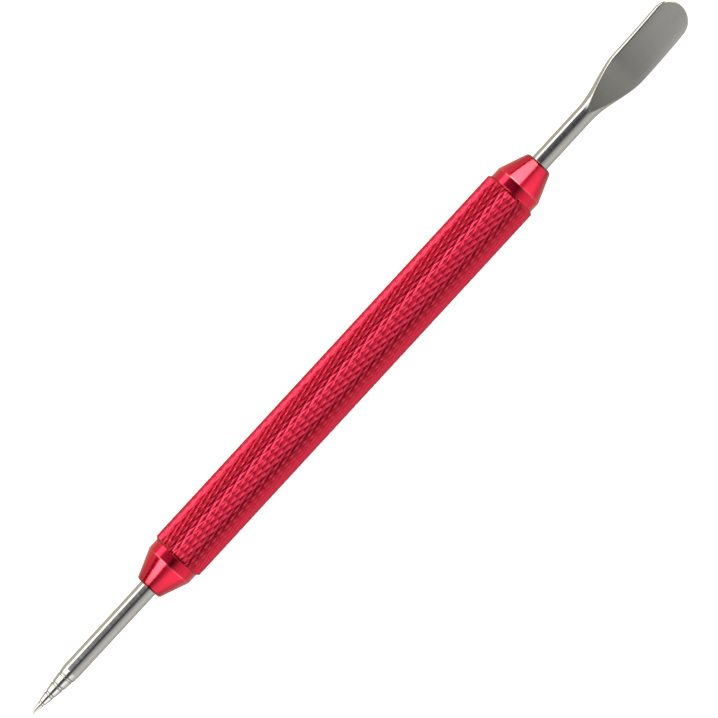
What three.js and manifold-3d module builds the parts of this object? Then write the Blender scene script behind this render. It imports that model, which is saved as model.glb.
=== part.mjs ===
// Double-ended sculpting tool in millimetres, +Z up.
// A knurled grip sleeve takes a turned ferrule in each end. One ferrule holds a
// round-ended spatula blade, the other a ringed needle.
// The tool lies on its grip with +X towards the blade and the blade's faces level.
// The origin is under the middle of the overall length, on the surface it lies on.
import * as THREE from 'three';
import { mergeVertices } from 'three/addons/utils/BufferGeometryUtils.js';
import Module from 'manifold-3d';

const wasm = await Module();
wasm.setup();

// Driving dimensions
const gripDiameter = 8.16;
const gripLength = 69;
const gripChamfer = 0.3;
const bandDiameter = 7.44;
const bandLength = 1.6;
const coneLength = 3.95;
const coneEndDiameter = 4.34;
const noseRadius = 0.5;
const spigotDiameter = 5;
const spigotLength = 8;
const shankDiameter = 2.72;
const tangLength = 12;
const bladeReach = 29.7; // ferrule nose to blade tip
const neckLength = 9;
const bladeLength = 11.3; // end of the neck to blade tip
const bladeWidth = 5.72;
const bladeThickness = 1.2;
const needleReach = 24.5; // ferrule nose to needle tip
const pointLength = 8.5;
const pointCurve = 0.75; // below 1 the point swells like an ogive, at 1 it is a straight cone
const ringCount = 4;
const ringPitch = 1.65;
const firstRing = 2.5; // needle tip to the middle of the nearest ring
const tipStations = [0.6, 0.2, 0.05]; // distances from the needle tip that shape its end
const ringWidth = 0.4;
const ringDepth = 0.09;
const edgeBreak = 0.25; // small chamfer on spigots and tangs
const fitGap = 0.05; // radial clearance of a bore over what it holds
const seatGap = 0.02; // axial clearance at a shoulder
const sides = 24; // flats round every turned piece, one of them underneath
const curveSteps = 10; // straight stretches along a neck or a rounded tip
const noseSteps = 4;
const cutMargin = 1; // how far a cutting solid runs past what it cuts
const weldDistance = 1e-4;

// Derived sizes
const flatToCorner = 1 / Math.cos(Math.PI / sides);
const gripHalf = gripLength / 2;
const ferruleStart = gripHalf + seatGap;
const coneStart = ferruleStart + bandLength;
const coneEnd = coneStart + coneLength;
const coneSlope = Math.atan2((bandDiameter - coneEndDiameter) / 2, coneLength);
const noseRise = noseRadius * (1 - Math.sin(coneSlope)); // axial length of the rounded nose
const noseDrop = noseRadius * Math.cos(coneSlope); // radial height of the rounded nose
const noseEnd = coneEnd + noseRise;
const bladeTip = noseEnd + bladeReach;
const neckStart = bladeTip - bladeLength - neckLength;
const needleTip = noseEnd + needleReach;
const gripMiddle = (needleTip - bladeTip) / 2;
const axisHeight = gripDiameter / 2;

const anodised = { color: 0xd2213f, roughness: 0.28, metalness: 0.9 };
const knurled = { color: 0xc32a49, roughness: 0.42, metalness: 0.85 };
const steel = { color: 0xb9b7b2, roughness: 0.3, metalness: 1 };

function smoothStep(t) {
  return t * t * (3 - 2 * t);
}

// Points [x, r] along the tool's axis, spun into a closed solid about that axis.
function turned(profile) {
  const points = profile.map(([x, r]) => new THREE.Vector2(r * flatToCorner, x));
  const geometry = new THREE.LatheGeometry(points, sides, Math.PI / sides);
  geometry.rotateZ(-Math.PI / 2);
  return geometry;
}

// A closed loop of profile points, for a turned piece with a bore.
function loop(profile) {
  return [...profile, profile[0]];
}

function toSolid(geometry) {
  const bare = geometry.clone();
  bare.deleteAttribute('normal');
  bare.deleteAttribute('uv');
  const merged = mergeVertices(bare, weldDistance);
  const vertProperties = new Float32Array(merged.attributes.position.array);
  const triVerts = new Uint32Array(merged.index.array);
  return new wasm.Manifold(new wasm.Mesh({ numProp: 3, vertProperties, triVerts }));
}

function toGeometry(solid) {
  const mesh = solid.getMesh();
  const geometry = new THREE.BufferGeometry();
  geometry.setAttribute('position', new THREE.BufferAttribute(mesh.vertProperties, mesh.numProp));
  geometry.setIndex(new THREE.BufferAttribute(mesh.triVerts, 1));
  geometry.computeVertexNormals();
  return geometry;
}

function piece(name, geometry, finish) {
  const mesh = new THREE.Mesh(geometry, new THREE.MeshStandardMaterial(finish));
  mesh.name = name;
  return mesh;
}

// Tube with a chamfer at each outer edge, bored right through for the spigots.
function gripSleeve() {
  const outer = gripDiameter / 2;
  const inner = spigotDiameter / 2 + fitGap;
  return turned(loop([
    [-gripHalf, inner],
    [-gripHalf, outer - gripChamfer],
    [gripChamfer - gripHalf, outer],
    [gripHalf - gripChamfer, outer],
    [gripHalf, outer - gripChamfer],
    [gripHalf, inner],
  ]));
}

// Spigot in the sleeve, plain band, cone and rounded nose, with a bore for the tang.
function ferrule() {
  const bore = shankDiameter / 2 + fitGap;
  const spigot = spigotDiameter / 2;
  const spigotEnd = ferruleStart - spigotLength;
  const nose = [];
  for (let i = 1; i <= noseSteps; i += 1) {
    const turn = coneSlope + (i / noseSteps) * (Math.PI / 2 - coneSlope);
    nose.push([
      coneEnd + noseRadius * (Math.sin(turn) - Math.sin(coneSlope)),
      coneEndDiameter / 2 - noseDrop + noseRadius * Math.cos(turn),
    ]);
  }
  return turned(loop([
    [spigotEnd, bore],
    [spigotEnd, spigot - edgeBreak],
    [spigotEnd + edgeBreak, spigot],
    [ferruleStart, spigot],
    [ferruleStart, bandDiameter / 2],
    [coneStart, bandDiameter / 2],
    [coneEnd, coneEndDiameter / 2],
    ...nose,
    [noseEnd, bore],
  ]));
}

// The same start for both steel inserts: the end of the tang, inside its ferrule.
function tangEnd() {
  const start = noseEnd - tangLength;
  return [
    [start, 0],
    [start, shankDiameter / 2 - edgeBreak],
    [start + edgeBreak, shankDiameter / 2],
  ];
}

// Round blank that swells from the shank to the blade's width and ends in a half circle.
function bladeBlank() {
  const shank = shankDiameter / 2;
  const half = bladeWidth / 2;
  const profile = tangEnd();
  for (let i = 0; i <= curveSteps; i += 1) {
    const t = i / curveSteps;
    profile.push([neckStart + t * neckLength, shank + (half - shank) * smoothStep(t)]);
  }
  for (let i = 0; i < curveSteps; i += 1) {
    const turn = (i / curveSteps) * (Math.PI / 2);
    profile.push([bladeTip - half + half * Math.sin(turn), half * Math.cos(turn)]);
  }
  profile.push([bladeTip, 0]);
  return turned(profile);
}

// Side view of the blade: full round up to the neck, then thinned to the blade's thickness.
function bladeSide() {
  const shank = (shankDiameter / 2) * flatToCorner;
  const thin = bladeThickness / 2;
  const clear = bladeWidth / 2 + cutMargin;
  const upper = [[noseEnd - tangLength - cutMargin, clear], [neckStart, clear]];
  for (let i = 0; i <= curveSteps; i += 1) {
    const t = i / curveSteps;
    upper.push([neckStart + t * neckLength, shank + (thin - shank) * smoothStep(t)]);
  }
  upper.push([bladeTip + cutMargin, thin]);
  const lower = upper.map(([x, z]) => [x, -z]).reverse();
  const shape = new THREE.Shape([...upper, ...lower].map(([x, z]) => new THREE.Vector2(x, z)));
  const geometry = new THREE.ExtrudeGeometry(shape, { depth: 2 * clear, bevelEnabled: false });
  geometry.translate(0, 0, -clear);
  geometry.rotateX(Math.PI / 2);
  return geometry;
}

function spatulaBlade() {
  return toGeometry(toSolid(bladeBlank()).intersect(toSolid(bladeSide())));
}

// Radius of the needle's point at a distance from its tip.
function pointRadius(fromTip) {
  return (shankDiameter / 2) * (fromTip / pointLength) ** pointCurve;
}

// Shank, then a swelling point with shallow rings cut round it.
function ringedNeedle() {
  const profile = tangEnd();
  profile.push([needleTip - pointLength, shankDiameter / 2]);
  for (let ring = ringCount - 1; ring >= 0; ring -= 1) {
    const middle = firstRing + ring * ringPitch;
    const upper = middle + ringWidth / 2;
    const lower = middle - ringWidth / 2;
    profile.push([needleTip - upper, pointRadius(upper)]);
    profile.push([needleTip - middle, pointRadius(middle) - ringDepth]);
    profile.push([needleTip - lower, pointRadius(lower)]);
    const between = lower - (ringPitch - ringWidth) / 2;
    profile.push([needleTip - between, pointRadius(between)]);
  }
  for (const fromTip of tipStations) {
    profile.push([needleTip - fromTip, pointRadius(fromTip)]);
  }
  profile.push([needleTip, 0]);
  return turned(profile);
}

const tool = new THREE.Group();
tool.position.set(gripMiddle, 0, axisHeight);
tool.add(piece('grip_sleeve', gripSleeve(), knurled));

const spatulaEnd = new THREE.Group();
spatulaEnd.add(piece('spatula_ferrule', ferrule(), anodised));
spatulaEnd.add(piece('spatula_blade', spatulaBlade(), steel));
tool.add(spatulaEnd);

const needleEnd = new THREE.Group();
needleEnd.rotation.z = Math.PI;
needleEnd.add(piece('needle_ferrule', ferrule(), anodised));
needleEnd.add(piece('ringed_needle', ringedNeedle(), steel));
tool.add(needleEnd);

const object = new THREE.Group();
object.add(tool);
export default object;
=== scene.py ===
import math

import bmesh
import bpy
from mathutils import Matrix, Vector


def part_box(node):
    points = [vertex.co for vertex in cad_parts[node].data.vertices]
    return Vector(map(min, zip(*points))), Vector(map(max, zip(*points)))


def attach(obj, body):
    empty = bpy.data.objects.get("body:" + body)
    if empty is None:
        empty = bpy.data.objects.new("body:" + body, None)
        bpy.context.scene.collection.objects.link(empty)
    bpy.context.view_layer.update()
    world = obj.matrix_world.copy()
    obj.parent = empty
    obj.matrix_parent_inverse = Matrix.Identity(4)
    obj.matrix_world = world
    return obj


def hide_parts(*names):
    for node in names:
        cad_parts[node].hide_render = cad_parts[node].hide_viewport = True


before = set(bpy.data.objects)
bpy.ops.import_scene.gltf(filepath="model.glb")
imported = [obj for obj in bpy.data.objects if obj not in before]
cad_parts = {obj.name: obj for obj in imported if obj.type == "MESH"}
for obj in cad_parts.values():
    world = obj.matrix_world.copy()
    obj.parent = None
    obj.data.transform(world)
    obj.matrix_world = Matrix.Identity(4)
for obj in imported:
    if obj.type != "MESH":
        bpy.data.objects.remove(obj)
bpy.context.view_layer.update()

mm = 0.001
weldDistance = 0.0005 * mm

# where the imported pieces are: every x below is measured along the tool from the grip's middle
gripLow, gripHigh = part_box("grip_sleeve")
gripMiddle = (gripLow + gripHigh) / 2
gripHalf = (gripHigh.x - gripLow.x) / 2
gripRadius = (gripHigh.z - gripLow.z) / 2
ferruleLow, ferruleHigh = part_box("spatula_ferrule")
spigotEnd = ferruleLow.x - gripMiddle.x
noseEnd = ferruleHigh.x - gripMiddle.x
bandRadius = (ferruleHigh.z - ferruleLow.z) / 2
bladeLow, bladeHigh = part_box("spatula_blade")
tangEnd = bladeLow.x - gripMiddle.x
bladeTip = bladeHigh.x - gripMiddle.x
bladeHalfWidth = (bladeHigh.y - bladeLow.y) / 2
needleLow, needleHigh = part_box("ringed_needle")
needleTip = gripMiddle.x - needleLow.x
shankRadius = (needleHigh.z - needleLow.z) / 2
print("frame read: grip", round(gripHalf * 2 / mm, 2), "mm, blade tip at", round(bladeTip / mm, 2), "mm")


# mesh helpers

def smoothStep(t):
    t = min(max(t, 0.0), 1.0)
    return t * t * (3 - 2 * t)


def radiusOf(vert):
    return math.hypot(vert.co.y, vert.co.z)


def setRadius(vert, radius):
    grow = radius / radiusOf(vert)
    vert.co.y *= grow
    vert.co.z *= grow


def arcPoints(centreX, centreR, radius, fromDeg, toDeg, steps):
    points = []
    for i in range(steps + 1):
        a = math.radians(fromDeg + (toDeg - fromDeg) * i / steps)
        points.append((centreX + radius * math.cos(a), centreR + radius * math.sin(a)))
    return points


def spinProfile(profile, closed, steps):
    # profile is (x, radius) along the tool's axis
    bm = bmesh.new()
    verts = [bm.verts.new((x, 0, r)) for x, r in profile]
    pairs = list(zip(verts, verts[1:]))
    if closed:
        pairs.append((verts[-1], verts[0]))
    edges = [bm.edges.new(pair) for pair in pairs]
    bmesh.ops.spin(bm, geom=verts + edges, cent=(0, 0, 0), axis=(1, 0, 0), angle=2 * math.pi,
                   steps=steps, use_merge=True, use_normal_flip=False, use_duplicate=False)
    bmesh.ops.remove_doubles(bm, verts=bm.verts[:], dist=weldDistance)
    bmesh.ops.recalc_face_normals(bm, faces=bm.faces[:])
    return bm


def paintVerts(bm, name, valueOf):
    layer = bm.verts.layers.float.new(name)
    for vert in bm.verts:
        vert[layer] = valueOf(vert)


def finishPiece(name, bm, material, node, sharpDeg, flip=False):
    # shaded smooth, apart from edges sharper than sharpDeg
    if flip:   # the needle end points the other way
        bmesh.ops.rotate(bm, cent=(0, 0, 0), matrix=Matrix.Rotation(math.pi, 3, "Z"), verts=bm.verts[:])
    bmesh.ops.translate(bm, vec=gripMiddle, verts=bm.verts[:])
    mesh = bpy.data.meshes.new(name)
    bm.to_mesh(mesh)
    bm.free()
    mesh.shade_smooth()
    mesh.set_sharp_from_angle(angle=math.radians(sharpDeg))
    mesh.materials.append(material)
    piece = bpy.data.objects.new(name, mesh)
    bpy.context.scene.collection.objects.link(piece)
    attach(piece, "root")
    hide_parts(node)
    print("made", name, len(mesh.polygons), "faces")


# material helpers

def newMaterial(name):
    material = bpy.data.materials.new(name)
    material.use_nodes = True
    tree = material.node_tree
    shader = tree.nodes["Principled BSDF"]
    return material, tree, shader


def addNode(tree, kind, inputs=None, **settings):
    node = tree.nodes.new(kind)
    for key, value in settings.items():
        setattr(node, key, value)
    for key, value in (inputs or {}).items():
        if isinstance(value, bpy.types.NodeSocket):
            tree.links.new(value, node.inputs[key])
        else:
            node.inputs[key].default_value = value
    return node


def objectCoords(tree, scale):
    coords = addNode(tree, "ShaderNodeTexCoord")
    mapping = addNode(tree, "ShaderNodeMapping", {"Vector": coords.outputs["Object"], "Scale": scale})
    return mapping.outputs["Vector"]


def noise(tree, scale, detail=3.0, rough=0.55):
    # scale is in cycles per metre, one number or one each along x, y and z
    scales = scale if isinstance(scale, tuple) else (scale, scale, scale)
    node = addNode(tree, "ShaderNodeTexNoise",
                   {"Vector": objectCoords(tree, scales), "Scale": 1.0, "Detail": detail, "Roughness": rough})
    return node.outputs["Fac"]


def spread(tree, value, low, high, fromLow=0.3, fromHigh=0.7):
    # from low to high as the value goes from fromLow to fromHigh, which most noise stays between
    node = addNode(tree, "ShaderNodeMapRange",
                   {"Value": value, "From Min": fromLow, "From Max": fromHigh, "To Min": low, "To Max": high})
    return node.outputs["Result"]


def mathNode(tree, operation, a, b):
    return addNode(tree, "ShaderNodeMath", {0: a, 1: b}, operation=operation).outputs[0]


def mixColours(tree, factor, a, b):
    node = addNode(tree, "ShaderNodeMix", {"Factor": factor}, data_type="RGBA")
    for socket, value in ((node.inputs[6], a), (node.inputs[7], b)):
        if isinstance(value, bpy.types.NodeSocket):
            tree.links.new(value, socket)
        else:
            socket.default_value = (*value, 1)
    return node.outputs[2]


def blend(tree, factor, a, b):
    node = addNode(tree, "ShaderNodeMix", {"Factor": factor}, data_type="FLOAT")
    tree.links.new(a, node.inputs[2])
    tree.links.new(b, node.inputs[3])
    return node.outputs[0]


def setCoat(shader, spec):
    shader.inputs["Coat Weight"].default_value = spec["coat"]
    shader.inputs["Coat Roughness"].default_value = spec["coatRough"]
    shader.inputs["Coat IOR"].default_value = spec["coatIor"]


def attribute(tree, name):
    return addNode(tree, "ShaderNodeAttribute", attribute_name=name).outputs["Fac"]


def addBump(tree, shader, height, strength, distance):
    bump = addNode(tree, "ShaderNodeBump", {"Height": height, "Strength": strength, "Distance": distance})
    tree.links.new(bump.outputs["Normal"], shader.inputs["Normal"])


# finishes

redTurned = {
    "colour": (0.92, 0.003, 0.050),
    "shade": (0.80, 0.002, 0.038),
    # lighter edges: worn dye and painted highlight
    "wornDyeAndHighlight": (0.95, 0.14, 0.16),
    "noseDirtAndShade": (0.10, 0.004, 0.010),    # dirt and painted shade where the steel enters the nose
    "marks": (5200, 40, 40),         # turning marks, cycles per metre along x, y and z
    "cloud": 260,
    "patches": 1500,
    "grain": 4000,
    "wearAndHighlightShare": (0.1, 0.9),         # how much of an edge is lightened, patch by patch: worn dye and painted highlight
    "noseDirtAndShadeShare": (0.75, 1.0),
    "rough": (0.13, 0.21),
    "grainRough": (-0.02, 0.03),
    "coat": 0.45,
    "coatRough": 0.1,
    "coatIor": 1.6,
    "bump": 0.08,
    "bumpHeight": 0.002 * mm,
}


def anodisedTurned(spec):
    material, tree, shader = newMaterial("redTurnedAnodising")
    rings = noise(tree, spec["marks"], detail=2.0)
    cloud = noise(tree, spec["cloud"])
    grain = noise(tree, spec["grain"], detail=1.0)
    tone = mixColours(tree, spread(tree, cloud, 0.0, 1.0), spec["shade"], spec["colour"])
    patchy = spread(tree, noise(tree, spec["patches"]), *spec["wearAndHighlightShare"])
    # edges lightened by worn dye and a painted highlight
    wearAndHighlight = mathNode(tree, "MULTIPLY", attribute(tree, "edge"), patchy)
    tone = mixColours(tree, wearAndHighlight, tone, spec["wornDyeAndHighlight"])
    # dirt and painted shade at the nose, where the steel enters
    noseDirtAndShade = mathNode(tree, "MULTIPLY", attribute(tree, "nose"), spread(tree, cloud, *spec["noseDirtAndShadeShare"]))
    tree.links.new(mixColours(tree, noseDirtAndShade, tone, spec["noseDirtAndShade"]), shader.inputs["Base Color"])
    markRough = spread(tree, rings, *spec["rough"])
    grainRough = spread(tree, grain, *spec["grainRough"])
    tree.links.new(mathNode(tree, "ADD", markRough, grainRough), shader.inputs["Roughness"])
    shader.inputs["Metallic"].default_value = 1.0
    setCoat(shader, spec)
    addBump(tree, shader, rings, spec["bump"], spec["bumpHeight"])
    return material


redKnurled = {
    "crest": (0.88, 0.003, 0.056),
    # painted shade: the grooves are coloured darker than the crests
    "paintedGrooveShade": (0.68, 0.002, 0.042),
    # lighter crests: worn dye and painted highlight
    "wornDyeAndHighlight": (0.93, 0.10, 0.17),
    "edgeTint": (0.6, 0.08, 0.12),   # the dye looks deeper at a glancing angle
    "cloud": 300,
    "grain": 4200,
    "clouded": 0.22,
    "wearAndHighlightAbove": 0.86,               # share of the knurl's height where the crests start to lighten: worn dye and painted highlight
    "rubbedAndHighlight": 0.5,
    "rough": (0.27, 0.20),           # in the grooves and on the crests
    "grainRough": (-0.04, 0.06),
    "coat": 0.6,
    "coatRough": 0.12,
    "coatIor": 1.6,
    "bump": 0.3,
    "bumpHeight": 0.006 * mm,
}


def anodisedKnurl(spec):
    material, tree, shader = newMaterial("redKnurledAnodising")
    height = attribute(tree, "crest")
    cloud = noise(tree, spec["cloud"])
    fine = noise(tree, spec["grain"], detail=2.0)
    # painted shade: darker from the crests down into the grooves
    tone = mixColours(tree, height, spec["paintedGrooveShade"], spec["crest"])
    tone = mixColours(tree, spread(tree, cloud, 0.0, spec["clouded"]), tone, spec["paintedGrooveShade"])
    # crests lightened by worn dye and a painted highlight
    onCrest = spread(tree, height, 0.0, 1.0, spec["wearAndHighlightAbove"], 1.0)
    crestWearAndHighlight = mathNode(tree, "MULTIPLY", onCrest, spread(tree, fine, 0.0, spec["rubbedAndHighlight"]))
    tree.links.new(mixColours(tree, crestWearAndHighlight, tone, spec["wornDyeAndHighlight"]), shader.inputs["Base Color"])
    heightRough = spread(tree, height, *spec["rough"], 0.0, 1.0)
    grainRough = spread(tree, fine, *spec["grainRough"])
    tree.links.new(mathNode(tree, "ADD", heightRough, grainRough), shader.inputs["Roughness"])
    shader.inputs["Metallic"].default_value = 1.0
    shader.inputs["Specular Tint"].default_value = (*spec["edgeTint"], 1)
    setCoat(shader, spec)
    addBump(tree, shader, fine, spec["bump"], spec["bumpHeight"])
    return material


bladeFinish = {
    "polished": (0.57, 0.555, 0.53),
    "satin": (0.27, 0.26, 0.245),
    "paintedTipLight": (0.76, 0.748, 0.72),     # painted light: brighter towards the tip
    "smudge": (0.42, 0.40, 0.375),
    "smudged": 0.16,
    "grind": (160, 3600, 3600),      # fine lines along the blade
    "rings": (3600, 60, 60),         # polishing marks round the shank
    "cloud": 330,
    "shankRough": (0.10, 0.18),
    "faceRough": (0.28, 0.32),
    "cloudRough": (-0.02, 0.02),
    "bump": 0.1,
    "bumpHeight": 0.001 * mm,
}


def bladeSteel(spec):
    material, tree, shader = newMaterial("groundBladeSteel")
    ground = attribute(tree, "ground")
    grind = noise(tree, spec["grind"], detail=2.0)
    rings = noise(tree, spec["rings"], detail=2.0)
    cloud = noise(tree, spec["cloud"], detail=4.0)
    # painted light: the face brightens towards the tip
    face = mixColours(tree, attribute(tree, "paintedTipLight"), spec["satin"], spec["paintedTipLight"])
    tone = mixColours(tree, ground, spec["polished"], face)
    smudge = spread(tree, cloud, 0.0, spec["smudged"])
    tree.links.new(mixColours(tree, smudge, tone, spec["smudge"]), shader.inputs["Base Color"])
    shankRough = spread(tree, rings, *spec["shankRough"])
    faceRough = mathNode(tree, "ADD", spread(tree, grind, *spec["faceRough"]),
                         spread(tree, cloud, *spec["cloudRough"]))
    tree.links.new(blend(tree, ground, shankRough, faceRough), shader.inputs["Roughness"])
    shader.inputs["Metallic"].default_value = 1.0
    addBump(tree, shader, blend(tree, ground, rings, grind), spec["bump"], spec["bumpHeight"])
    return material


needleFinish = {
    "steel": (0.60, 0.585, 0.56),
    "cut": (0.30, 0.29, 0.28),       # painted shade on the walls of the rings
    "smudge": (0.45, 0.43, 0.40),
    "smudged": 0.12,
    "rings": (3600, 60, 60),         # polishing marks round the needle
    "cloud": 400,
    "rough": (0.10, 0.16),
    "cutRough": 0.2,                 # added on the walls
    "bump": 0.1,
    "bumpHeight": 0.001 * mm,
}


def needleSteel(spec):
    material, tree, shader = newMaterial("polishedNeedleSteel")
    cut = attribute(tree, "cut")
    rings = noise(tree, spec["rings"], detail=2.0)
    cloud = noise(tree, spec["cloud"])
    # painted shade on the ring walls
    tone = mixColours(tree, cut, spec["steel"], spec["cut"])
    tone = mixColours(tree, spread(tree, cloud, 0.0, spec["smudged"]), tone, spec["smudge"])
    tree.links.new(tone, shader.inputs["Base Color"])
    rough = mathNode(tree, "ADD", spread(tree, rings, *spec["rough"]),
                     mathNode(tree, "MULTIPLY", cut, spec["cutRough"]))
    tree.links.new(rough, shader.inputs["Roughness"])
    shader.inputs["Metallic"].default_value = 1.0
    addBump(tree, shader, rings, spec["bump"], spec["bumpHeight"])
    return material


# knurled grip

grip = {
    "starts": 34,                # diamonds round the grip
    "rows": 26,                  # diamonds along it
    "depth": 0.12 * mm,
    "flank": 0.29 * mm,          # width of a diamond's sloping side
    "crestStretch": 2.0,         # each crest is drawn out along one of the two crossing cuts
    "crestTurnDeg": 8,
    "crestRound": 0.02 * mm,
    "chamfer": 0.3 * mm,
    "boreRadius": 2.55 * mm,
    "sharpDeg": 20,
}


def diamondShell(spec, rootRadius):
    # a tube of long cells, each poked in the middle, with the cell edges then dissolved into diamonds
    bm = bmesh.new()
    pitch = 2 * gripHalf / spec["rows"]
    length = pitch * (spec["rows"] + 1)
    bmesh.ops.create_cone(bm, cap_ends=False, segments=spec["starts"], radius1=rootRadius, radius2=rootRadius,
                          depth=length, matrix=Matrix.Rotation(math.pi / 2, 4, "Y"))
    lengthwise = [e for e in bm.edges if abs(e.verts[0].co.x - e.verts[1].co.x) > pitch]
    bmesh.ops.subdivide_edges(bm, edges=lengthwise, cuts=spec["rows"], use_grid_fill=True)
    cellEdges = [e for e in bm.edges if len(e.link_faces) == 2]
    centres = bmesh.ops.poke(bm, faces=bm.faces[:])["verts"]
    for vert in centres:
        setRadius(vert, rootRadius)
    bmesh.ops.dissolve_edges(bm, edges=cellEdges, use_verts=False)
    bmesh.ops.recalc_face_normals(bm, faces=bm.faces[:])
    if sum(f.normal.dot(f.calc_center_median() * Vector((0, 1, 1))) for f in bm.faces) < 0:
        bmesh.ops.reverse_faces(bm, faces=bm.faces[:])
    return bm


def raiseDiamonds(bm, spec, rootRadius):
    bmesh.ops.inset_individual(bm, faces=bm.faces[:], thickness=spec["flank"], depth=spec["depth"],
                               use_even_offset=True)
    middle = rootRadius + spec["depth"] / 2
    for face in [f for f in bm.faces if all(radiusOf(v) > middle for v in f.verts)]:
        centre = face.calc_center_median()
        lengthwise = Vector((1, 0, 0))
        roundwise = face.normal.cross(lengthwise)
        along = (lengthwise + roundwise * math.tan(math.radians(spec["crestTurnDeg"]))).normalized()
        for vert in face.verts:
            vert.co += along * (vert.co - centre).dot(along) * (spec["crestStretch"] - 1)
            setRadius(vert, rootRadius + spec["depth"])
    crestEdges = [e for e in bm.edges if all(radiusOf(v) > middle for v in e.verts)]
    bmesh.ops.bevel(bm, geom=crestEdges, offset=spec["crestRound"], offset_type="OFFSET", segments=1,
                    profile=0.5, affect="EDGES", material=-1, clamp_overlap=True)


def closeGripEnds(bm, spec):
    trim = gripHalf - spec["chamfer"]
    for side in (1, -1):
        bmesh.ops.bisect_plane(bm, geom=bm.verts[:] + bm.edges[:] + bm.faces[:], dist=0.0001 * mm,
                               plane_co=(side * trim, 0, 0), plane_no=(side, 0, 0), clear_outer=True)
    for x, radius in ((gripHalf, gripRadius - spec["chamfer"]), (gripHalf, spec["boreRadius"])):
        rim = [e for e in bm.edges if e.is_boundary]
        grown = bmesh.ops.extrude_edge_only(bm, edges=rim)["geom"]
        for vert in (g for g in grown if isinstance(g, bmesh.types.BMVert)):
            vert.co.x = math.copysign(x, vert.co.x)
            setRadius(vert, radius)
    bmesh.ops.bridge_loops(bm, edges=[e for e in bm.edges if e.is_boundary])


def knurledGrip(spec):
    rootRadius = gripRadius - spec["depth"]
    bm = diamondShell(spec, rootRadius)
    raiseDiamonds(bm, spec, rootRadius)
    closeGripEnds(bm, spec)
    bmesh.ops.recalc_face_normals(bm, faces=bm.faces[:])
    paintVerts(bm, "crest", lambda v: min(max((radiusOf(v) - rootRadius) / spec["depth"], 0.0), 1.0))
    finishPiece("knurledGrip", bm, anodisedKnurl(redKnurled), "grip_sleeve",
                sharpDeg=spec["sharpDeg"])


# turned ferrules

ferrule = {
    "bandLength": 1.6 * mm,
    "coneLength": 3.95 * mm,
    "coneEndRadius": 2.17 * mm,
    "noseRadius": 0.5 * mm,
    "spigotRadius": 2.5 * mm,
    "boreRadius": 1.41 * mm,
    "edge": 0.07 * mm,           # broken corners
    "spigotEdge": 0.25 * mm,
    "seatGap": 0.02 * mm,        # between the grip's end and the band
    "holdRing": 0.2 * mm,        # plain rings this far from a corner keep its shading tight
    "wearAndHighlightReach": 0.14 * mm,
    "noseDirtAndShadeBefore": 0.12 * mm,     # the dirt and painted shade start this far back from the nose
    "noseDirtAndShadeFade": 0.3 * mm,
    "steps": 128,
    "cornerSteps": 4,
    "noseSteps": 10,
    "boreSteps": 3,
    "sharpDeg": 32,
}


def ferruleProfile(spec):
    shoulder = gripHalf + spec["seatGap"]
    coneStart = shoulder + spec["bandLength"]
    coneEnd = coneStart + spec["coneLength"]
    slope = math.degrees(math.atan2(bandRadius - spec["coneEndRadius"], spec["coneLength"]))
    edge, nose = spec["edge"], spec["noseRadius"]
    noseX = coneEnd - nose * math.sin(math.radians(slope))
    noseR = spec["coneEndRadius"] - nose * math.cos(math.radians(slope))
    creaseRadius = 4 * edge      # a softer corner between band and cone
    creaseBack = creaseRadius * math.tan(math.radians(slope / 2))
    profile = [
        (spigotEnd, spec["boreRadius"]),
        (spigotEnd, spec["spigotRadius"] - spec["spigotEdge"]),
        (spigotEnd + spec["spigotEdge"], spec["spigotRadius"]),
        (shoulder, spec["spigotRadius"]),
    ]
    hold, corner = spec["holdRing"], spec["cornerSteps"]
    profile += arcPoints(shoulder + edge, bandRadius - edge, edge, 180, 90, corner)
    profile += [(shoulder + hold, bandRadius), (coneStart - hold, bandRadius)]
    profile += arcPoints(coneStart - creaseBack, bandRadius - creaseRadius, creaseRadius, 90, 90 - slope,
                         corner)
    profile += [(coneStart + hold, bandRadius - hold * math.tan(math.radians(slope)))]
    profile += arcPoints(noseX, noseR, nose, 90 - slope, 0, spec["noseSteps"])
    profile += arcPoints(noseEnd - edge, spec["boreRadius"] + edge, edge, 0, -90, spec["boreSteps"])
    return profile, coneStart, coneEnd


def turnedFerrule(name, spec, node, material, flip):
    profile, coneStart, coneEnd = ferruleProfile(spec)
    bm = spinProfile(profile, True, spec["steps"])
    noseDirtAndShadeStart = coneEnd - spec["noseDirtAndShadeBefore"]

    # edges lightened by worn dye and a painted highlight
    def edgeWearAndHighlight(vert):
        return max(smoothStep(1 - abs(vert.co.x - x) / spec["wearAndHighlightReach"]) for x in (gripHalf, coneStart))

    paintVerts(bm, "edge", edgeWearAndHighlight)
    # dirt and painted shade towards the nose
    paintVerts(bm, "nose", lambda v: smoothStep((v.co.x - noseDirtAndShadeStart) / spec["noseDirtAndShadeFade"]))
    finishPiece(name, bm, material, node, flip=flip, sharpDeg=spec["sharpDeg"])


# forged blade

blade = {
    "neckLength": 9.0 * mm,
    "bladeLength": 11.3 * mm,
    "neckHalf": 0.60 * mm,       # half thickness where the neck ends, and at the tip
    "tipHalf": 0.50 * mm,
    "tipNarrowing": 0.06 * mm,
    "lean": 0.34 * mm,           # the tip is ground a little to one side
    "crown": 0.12 * mm,
    "bevelRadius": 1.32 * mm,    # one long edge is bevelled to a shallow arc
    "bevelLeanDeg": 25,
    "bevelCorner": 0.45 * mm,    # softening between face and bevel
    "plainCorner": 0.08 * mm,    # and at the other edge, which keeps the round of the blank
    "faceBlend": 0.014 * mm,     # the ground face stops this far down its corner
    "groundFade": 1.5 * mm,      # and starts over this length of the neck
    "across": 64,                # quads across each face, edge to edge
    "shankSteps": 5,
    "neckSteps": 36,
    "faceSteps": 14,
    "tipSteps": 30,
    "weld": 0.0008 * mm,
    "sharpDeg": 40,
}


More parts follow.
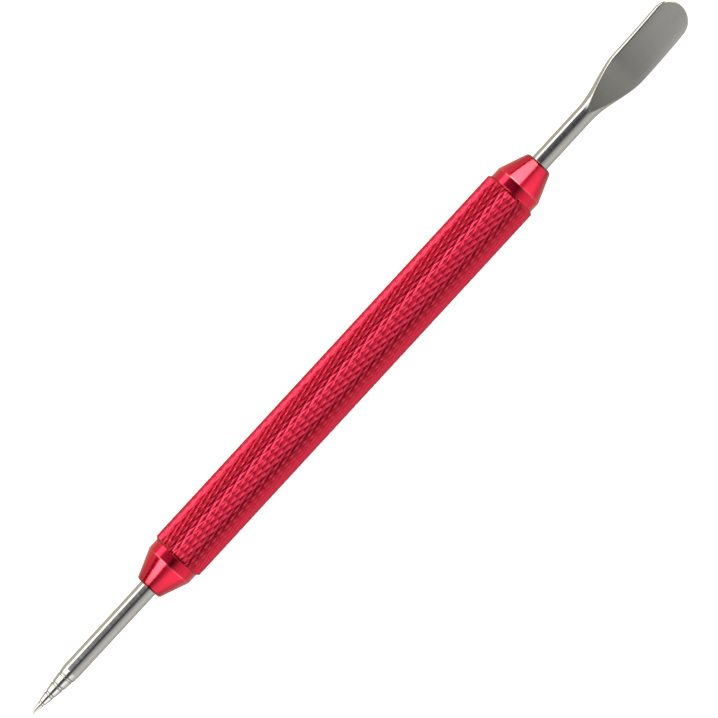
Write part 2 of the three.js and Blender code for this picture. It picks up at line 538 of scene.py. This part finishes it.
def evenSteps(start, end, steps):
    return [start + (end - start) * i / steps for i in range(steps)]


def bladeStations(spec):
    neckStart = bladeTip - spec["bladeLength"] - spec["neckLength"]
    neckEnd = neckStart + spec["neckLength"]
    tipStart = bladeTip - bladeHalfWidth
    tipTurns = [math.pi / 2 * i / spec["tipSteps"] for i in range(spec["tipSteps"] + 1)]
    stations = [tangEnd]
    stations += evenSteps(noseEnd, neckStart, spec["shankSteps"])
    stations += evenSteps(neckStart, neckEnd, spec["neckSteps"])
    stations += evenSteps(neckEnd, tipStart, spec["faceSteps"])
    stations += [tipStart + bladeHalfWidth * math.sin(turn) for turn in tipTurns]
    return stations


def bladePlan(spec, x):
    # half width, half thickness, how far the neck has swollen and how near the tip, at x
    neckStart = bladeTip - spec["bladeLength"] - spec["neckLength"]
    swell = smoothStep((x - neckStart) / spec["neckLength"])
    along = min(max((x - neckStart - spec["neckLength"]) / spec["bladeLength"], 0.0), 1.0)
    width = shankRadius + (bladeHalfWidth - shankRadius) * swell - spec["tipNarrowing"] * along
    half = shankRadius + (spec["neckHalf"] - shankRadius) * swell
    half += (spec["tipHalf"] - spec["neckHalf"]) * along
    return width, half, swell, along


def edgeHeight(inward, half, radius, lean, corner):
    # height above the middle plane at a distance in from the outline: an arc that starts
    # leaning inwards, then a corner, then the flat face
    reach, sink = radius * math.cos(lean), radius * math.sin(lean)
    flatStart = reach - math.sqrt(max((radius - corner) ** 2 - (half - corner + sink) ** 2, 0.0))
    arcEnd = reach - (reach - flatStart) * radius / (radius - corner)
    if inward >= flatStart:
        return half
    if inward <= arcEnd:
        return math.sqrt(max(radius ** 2 - (reach - inward) ** 2, sink ** 2)) - sink
    return half - corner + math.sqrt(max(corner ** 2 - (flatStart - inward) ** 2, 0.0))


def bladePoint(spec, x, across, side):
    # across runs from -1 to 1 over the width; side is 1 on top and -1 underneath
    width, half, swell, along = bladePlan(spec, x)
    fromTip = max(bladeTip - x, 0.0)
    outline = width
    if fromTip < width:
        outline = math.sqrt(max(width ** 2 - (width - fromTip) ** 2, 0.0))
    y = outline * math.sin(across * math.pi / 2)
    inward = width - abs(y)
    if fromTip < width:
        inward = width - math.hypot(width - fromTip, y)
    bevel = smoothStep(0.5 + 2 * y / width) * swell * smoothStep(fromTip / width)
    radius = width + (spec["bevelRadius"] - width) * bevel ** 3
    lean = math.radians(spec["bevelLeanDeg"]) * bevel ** 2
    corner = (spec["plainCorner"] + (spec["bevelCorner"] - spec["plainCorner"]) * bevel) * swell ** 0.5
    crown = spec["crown"] * swell ** 2 * (y / bladeHalfWidth) ** 4
    height = edgeHeight(inward, half - crown, radius, lean, corner)
    face = 1 - smoothStep((half - crown - height) / spec["faceBlend"])
    return Vector((x, y + spec["lean"] * along ** 2, side * height)), face


def forgedBlade(spec):
    stations = bladeStations(spec)
    around = 2 * spec["across"]
    bm = bmesh.new()
    bmesh.ops.create_grid(bm, x_segments=len(stations) - 1, y_segments=around, size=1.0)
    ground = bm.verts.layers.float.new("ground")
    neckStart = bladeTip - spec["bladeLength"] - spec["neckLength"]
    for vert in bm.verts:
        x = stations[round((vert.co.x + 1) / 2 * (len(stations) - 1))]
        place = round((vert.co.y + 1) / 2 * around) / spec["across"]      # 0 to 1 on top, on to 2 underneath
        vert.co, face = bladePoint(spec, x, abs(2 * place - 2) - 1, 1 if place <= 1 else -1)
        vert[ground] = face * smoothStep((x - neckStart) / spec["groundFade"])
    bmesh.ops.remove_doubles(bm, verts=bm.verts[:], dist=spec["weld"])
    bmesh.ops.holes_fill(bm, edges=[e for e in bm.edges if e.is_boundary], sides=0)     # the tang's end
    bmesh.ops.recalc_face_normals(bm, faces=bm.faces[:])
    # painted light: how far along the blade the face has brightened
    paintVerts(bm, "paintedTipLight", lambda v: smoothStep((v.co.x - neckStart) / (bladeTip - neckStart)))
    finishPiece("forgedBlade", bm, bladeSteel(bladeFinish), "spatula_blade",
                sharpDeg=spec["sharpDeg"])


# ringed needle

needle = {
    "pointLength": 8.5 * mm,
    "pointEdge": 0.1 * mm,       # the shank turns into the point within this much each way
    "swell": 0.75,
    "rings": 4,
    "firstRing": 2.5 * mm,
    "ringPitch": 1.65 * mm,
    "ringWidth": 0.42 * mm,
    "ringFloor": 0.24 * mm,
    "ringDepth": 0.075 * mm,
    "wallReach": 0.03 * mm,      # the painted shade on a ring's wall is full this far each way
    "wallFade": 0.05 * mm,       # and fades over this
    "tangEdge": 0.25 * mm,
    "pointSteps": 40,            # packed closer towards the tip by the crowding
    "crowding": 1.6,
    "clearOfRing": 0.03 * mm,
    "steps": 96,
    "sharpDeg": 22,
}


def needleRadius(spec, fromTip):
    return shankRadius * min(fromTip / spec["pointLength"], 1.0) ** spec["swell"]


def ringMiddles(spec):
    return [spec["firstRing"] + i * spec["ringPitch"] for i in range(spec["rings"])]


def needleProfile(spec):
    profile = [
        (tangEnd, 0.0),
        (tangEnd, shankRadius - spec["tangEdge"]),
        (tangEnd + spec["tangEdge"], shankRadius),
        (noseEnd, shankRadius),
        (needleTip - spec["pointLength"] - spec["pointEdge"], shankRadius),
    ]
    steps = spec["pointSteps"]
    plain = [spec["pointLength"] * (i / steps) ** spec["crowding"] for i in range(1, steps + 1)]
    plain.append(spec["pointLength"] - spec["pointEdge"])
    middles = ringMiddles(spec)
    lip, floor = spec["ringWidth"] / 2, spec["ringFloor"] / 2
    plain = [d for d in plain if all(abs(d - m) > lip + spec["clearOfRing"] for m in middles)]
    # distance from a ring's middle and share of its depth: lip, wall, foot of the wall and floor
    section = ((lip, 0.0), ((lip + floor) / 2, 0.6), (floor, 1.0), (floor / 2, 0.96))
    cuts = []
    for m in middles:
        for step, share in section:
            cuts += [(m + step, share), (m - step, share)]
    stations = sorted([(d, 0.0) for d in plain] + cuts, reverse=True)
    for fromTip, share in stations:
        profile.append((needleTip - fromTip, needleRadius(spec, fromTip) - share * spec["ringDepth"]))
    profile.append((needleTip, 0.0))
    return profile


def ringedNeedle(spec):
    bm = spinProfile(needleProfile(spec), False, spec["steps"])

    def paintedWallShadeMask(vert):
        # painted shade: only the steep walls of a ring are dark, not its floor
        off = min(abs(needleTip - vert.co.x - m) for m in ringMiddles(spec))
        wall = (spec["ringWidth"] + spec["ringFloor"]) / 4
        return smoothStep(1 + (spec["wallReach"] - abs(off - wall)) / spec["wallFade"])

    paintVerts(bm, "cut", paintedWallShadeMask)
    finishPiece("ringedNeedle", bm, needleSteel(needleFinish), "ringed_needle",
                flip=True, sharpDeg=spec["sharpDeg"])


# stage, lights and camera

studio = {
    "floorReach": 1.6,
    "floorLift": 0.85,           # the bright table seen behind the tool
    "cameraHeight": 1.0,
    "frameWidth": 0.1005,        # seen at the tool
    "aimBeyondGrip": 3.13 * mm,
    "toolAngleDeg": 47.33,
    "rollDeg": 8.0,              # the blade's face is turned a little away from the camera
    "sensorWidth": 36.0,
    "floorGrey": 0.62,
    "floorRough": 0.9,
    "softboxDistance": 0.7,
    "softboxRadiance": 9.0,
    "softboxColour": (1.0, 0.97, 0.62),
}

# strip lights, each from one direction to another as the tool sees it, with its width in metres
softboxes = {
    "softboxBladeSide": ((0.68, 0.03, 0.73), (0.59, 0.74, 0.32), 0.17),
    "softboxNeedleSide": ((-0.67, 0.20, 0.71), (-0.62, 0.62, 0.48), 0.18),
}

# the room round the tool: x and y are how far a direction leans along and across it, from -1 to 1
room = {
    # brightness by y: a dark ceiling over the camera, pale walls low down on the -Y side
    "overTool": [(-1.0, 0.80), (-0.75, 0.68), (-0.59, 0.58), (-0.42, 0.38), (-0.24, 0.15), (-0.10, 0.06),
                 (0.15, 0.05), (0.42, 0.09), (0.68, 0.17), (0.84, 0.24), (1.0, 0.15)],
    "offEnds": [(-1.0, 0.55), (-0.86, 1.0), (-0.76, 1.25), (-0.43, 1.2), (-0.22, 0.6), (0.0, 0.30),
                (0.10, 0.20), (0.84, 0.12), (1.0, 0.15)],
    "endsFrom": (0.42, 0.62),        # the walls turn from overTool to offEnds between these
    "endsDim": (0.75, 0.84),         # and go nearly dark beyond these
    "endsLeft": 0.08,
    # each card fades in over its y values and is lit between its x values
    "cards": [
        {"level": 2.6, "y": (0.80, 0.87), "x": (-0.44, 0.44)},       # low on the +Y side
        {"level": 1.8, "y": (0.02, 0.18), "x": (-0.26, -0.05)},      # seen in the knurl's slopes
        {"level": 1.8, "y": (0.18, 0.32), "x": (-0.60, -0.10)},      # seen above the needle point's middle
        {"level": 1.8, "y": (-0.42, -0.60), "x": (-0.60, -0.20)},    # and below it
    ],
    "fill": {"level": 0.5, "y": (-0.6, 0.55), "x": (0.06, 0.60), "soft": 0.2},
}


def paleFloor(spec):
    material, tree, shader = newMaterial("paleFloor")
    grey = spec["floorGrey"]
    shader.inputs["Base Color"].default_value = (grey, grey, grey, 1)
    shader.inputs["Roughness"].default_value = spec["floorRough"]
    shader.inputs["Emission Color"].default_value = (1, 1, 1, 1)
    seen = addNode(tree, "ShaderNodeLightPath").outputs["Is Camera Ray"]
    tree.links.new(mathNode(tree, "MULTIPLY", seen, spec["floorLift"]), shader.inputs["Emission Strength"])
    bm = bmesh.new()
    bmesh.ops.create_grid(bm, x_segments=1, y_segments=1, size=spec["floorReach"])
    mesh = bpy.data.meshes.new("floor")
    bm.to_mesh(mesh)
    bm.free()
    mesh.materials.append(material)
    floor = bpy.data.objects.new("floor", mesh)
    bpy.context.scene.collection.objects.link(floor)


def softbox(spec, name, lowEnd, highEnd, width):
    low, high = Vector(lowEnd).normalized(), Vector(highEnd).normalized()
    length = 2 * spec["softboxDistance"] * math.tan(low.angle(high) / 2)
    light = bpy.data.lights.new(name, "AREA")
    light.shape = "RECTANGLE"
    light.size = width
    light.size_y = length
    light.color = spec["softboxColour"]
    light.energy = spec["softboxRadiance"] * math.pi * width * length
    lamp = bpy.data.objects.new(name, light)
    zAxis = (low + high).normalized()
    yAxis = (high - low).normalized()
    turn = Matrix((yAxis.cross(zAxis), yAxis, zAxis)).transposed().to_4x4()
    roll = Matrix.Rotation(-math.radians(spec["rollDeg"]), 4, "X")
    lamp.matrix_world = roll @ Matrix.Translation(zAxis * spec["softboxDistance"]) @ turn
    lamp.visible_camera = False
    bpy.context.scene.collection.objects.link(lamp)


def levelRamp(tree, y, stops):
    ramp = addNode(tree, "ShaderNodeValToRGB", {"Fac": spread(tree, y, 0.0, 1.0, -1.0, 1.0)})
    elements = ramp.color_ramp.elements
    while len(elements) < len(stops):
        elements.new(0.5)
    for element, (place, level) in zip(elements, stops):
        element.position = (place + 1) / 2
        element.color = (level, level, level, 1)
    return ramp.outputs["Color"]


def between(tree, value, low, high, soft=0.1):
    # 1 between the two values, fading to 0 just inside them
    rise = spread(tree, value, 0.0, 1.0, low, low + soft)
    return mathNode(tree, "MULTIPLY", rise, spread(tree, value, 1.0, 0.0, high - soft, high))


def studioWorld(spec, room):
    world = bpy.data.worlds.new("studio")
    world.use_nodes = True
    bpy.context.scene.world = world
    tree = world.node_tree
    background = tree.nodes["Background"]
    coords = addNode(tree, "ShaderNodeTexCoord")
    rolled = addNode(tree, "ShaderNodeMapping", {
        "Vector": coords.outputs["Generated"], "Rotation": (math.radians(spec["rollDeg"]), 0, 0)})
    parts = addNode(tree, "ShaderNodeSeparateXYZ", {"Vector": rolled.outputs["Vector"]})
    x, y = parts.outputs["X"], parts.outputs["Y"]
    offX = addNode(tree, "ShaderNodeMath", {0: x}, operation="ABSOLUTE").outputs[0]
    toEnds = spread(tree, offX, 0.0, 1.0, *room["endsFrom"])
    walls = blend(tree, toEnds, levelRamp(tree, y, room["overTool"]), levelRamp(tree, y, room["offEnds"]))
    level = mathNode(tree, "MULTIPLY", walls, spread(tree, offX, 1.0, room["endsLeft"], *room["endsDim"]))
    for card in room["cards"]:
        rise = spread(tree, y, 0.0, card["level"], *card["y"])
        lit = mathNode(tree, "MULTIPLY", rise, between(tree, x, *card["x"]))
        level = mathNode(tree, "MAXIMUM", level, lit)
    fill = room["fill"]
    acrossFill = between(tree, y, *fill["y"], fill["soft"])
    inside = mathNode(tree, "MULTIPLY", acrossFill, between(tree, x, *fill["x"]))
    level = mathNode(tree, "MAXIMUM", level, mathNode(tree, "MULTIPLY", inside, fill["level"]))
    seen = addNode(tree, "ShaderNodeLightPath").outputs["Is Camera Ray"]
    tree.links.new(mathNode(tree, "MAXIMUM", level, seen), background.inputs["Strength"])
    background.inputs["Color"].default_value = (1, 1, 1, 1)


def addCamera(spec):
    data = bpy.data.cameras.new("camera")
    data.sensor_width = spec["sensorWidth"]
    data.lens = spec["sensorWidth"] * spec["cameraHeight"] / spec["frameWidth"]
    camera = bpy.data.objects.new("camera", data)
    aim = Vector((gripMiddle.x + spec["aimBeyondGrip"], 0, gripMiddle.z))
    roll = Matrix.Rotation(-math.radians(spec["rollDeg"]), 4, "X")
    turn = Matrix.Rotation(-math.radians(spec["toolAngleDeg"]), 4, "Z")
    rise = Matrix.Translation((0, 0, spec["cameraHeight"]))
    camera.matrix_world = Matrix.Translation(aim) @ roll @ rise @ turn
    bpy.context.scene.collection.objects.link(camera)
    bpy.context.scene.camera = camera


def buildTool():
    knurledGrip(grip)
    redMetal = anodisedTurned(redTurned)
    turnedFerrule("spatulaEndFerrule", ferrule, "spatula_ferrule", redMetal, False)
    turnedFerrule("needleEndFerrule", ferrule, "needle_ferrule", redMetal, True)
    forgedBlade(blade)
    ringedNeedle(needle)


buildTool()
print("tool built")
paleFloor(studio)
for name, (lowEnd, highEnd, width) in softboxes.items():
    softbox(studio, name, lowEnd, highEnd, width)
studioWorld(studio, room)
addCamera(studio)
bpy.context.scene.view_settings.view_transform = "Standard"
print("stage, lights and camera set")
